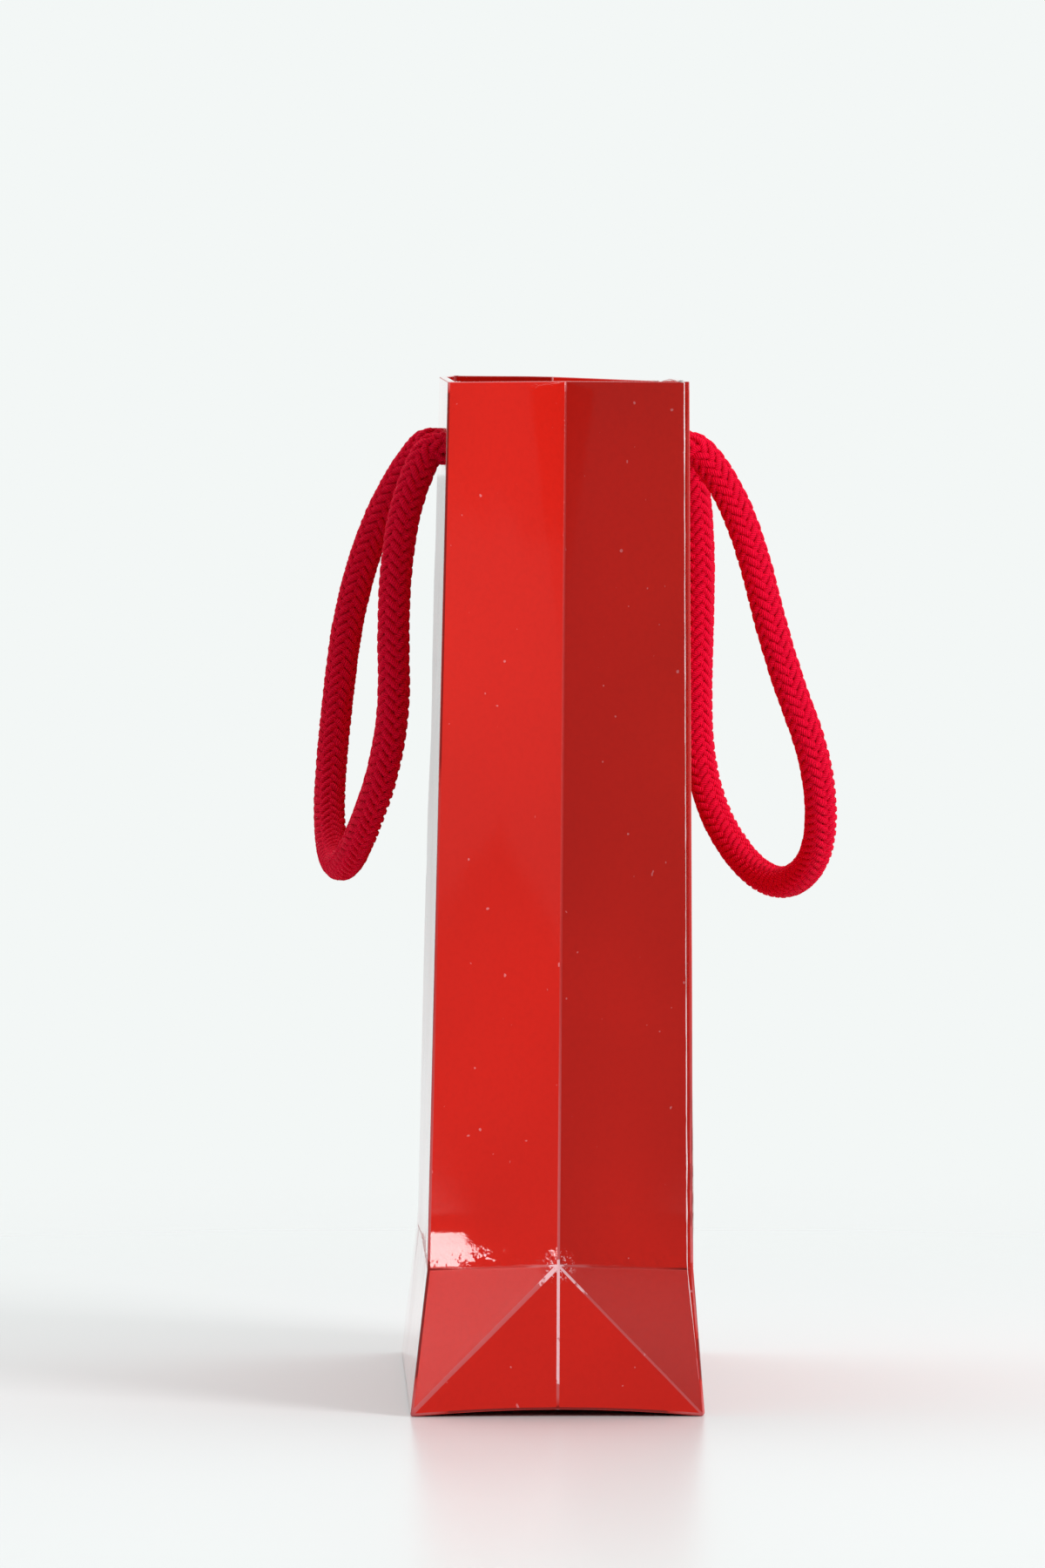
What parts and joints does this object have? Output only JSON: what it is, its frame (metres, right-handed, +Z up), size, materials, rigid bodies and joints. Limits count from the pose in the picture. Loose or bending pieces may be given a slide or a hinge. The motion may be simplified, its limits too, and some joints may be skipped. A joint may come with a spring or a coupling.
{
  "type": "gift bag",
  "caption": "Small glossy paper gift bag with folded-in gussets, turned-in stiffened hem, loose base board and two knotted cord handles that swing.",
  "frame": {"origin": "middle of the base, on the surface the bag stands on", "axes": "+Z up to the mouth; +Y towards the back panel and -Y towards the front panel, the two wide panels; +X and -X towards the two folded-in gussets"},
  "size_m": [0.15, 0.1072, 0.21],
  "materials": {
    "laminated_paper": "glossy laminated red paper",
    "stiffening_card": "plain grey card",
    "base_board": "plain white-faced board",
    "cord": "braided soft cord"
  },
  "bodies": {
    "root": {"front_panel": "laminated_paper", "back_panel": "laminated_paper", "glue_flap": "laminated_paper", "front_bottom_flap": "laminated_paper", "back_bottom_flap": "laminated_paper", "right_bottom_flap": "laminated_paper", "left_bottom_flap": "laminated_paper", "front_hem": "laminated_paper", "back_hem": "laminated_paper", "right_front_gusset": "laminated_paper", "right_front_side_triangle": "laminated_paper", "right_front_foot_triangle": "laminated_paper", "right_front_gusset_hem": "laminated_paper", "right_back_gusset": "laminated_paper", "right_back_side_triangle": "laminated_paper", "right_back_foot_triangle": "laminated_paper", "right_back_gusset_hem": "laminated_paper", "left_back_gusset": "laminated_paper", "left_back_side_triangle": "laminated_paper", "left_back_foot_triangle": "laminated_paper", "left_back_gusset_hem": "laminated_paper", "left_front_gusset": "laminated_paper", "left_front_side_triangle": "laminated_paper", "left_front_foot_triangle": "laminated_paper", "left_front_gusset_hem": "laminated_paper", "front_card": "stiffening_card", "back_card": "stiffening_card", "base_board": "base_board", "front_right_knot": "cord", "front_left_knot": "cord", "back_right_knot": "cord", "back_left_knot": "cord"},
    "front_handle": {"front_cord_handle": "cord"},
    "back_handle": {"back_cord_handle": "cord"}
  },
  "joints": [
    {"name": "front_handle_swing", "type": "hinge", "parent": "root", "child": "front_handle", "pos_m": [0, -0.02593, 0.196], "axis": [-1, 0, 0], "range_deg": [0, 140]},
    {"name": "back_handle_swing", "type": "hinge", "parent": "root", "child": "back_handle", "pos_m": [0, 0.03007, 0.196], "axis": [1, 0, 0], "range_deg": [0, 140]}
  ]
}
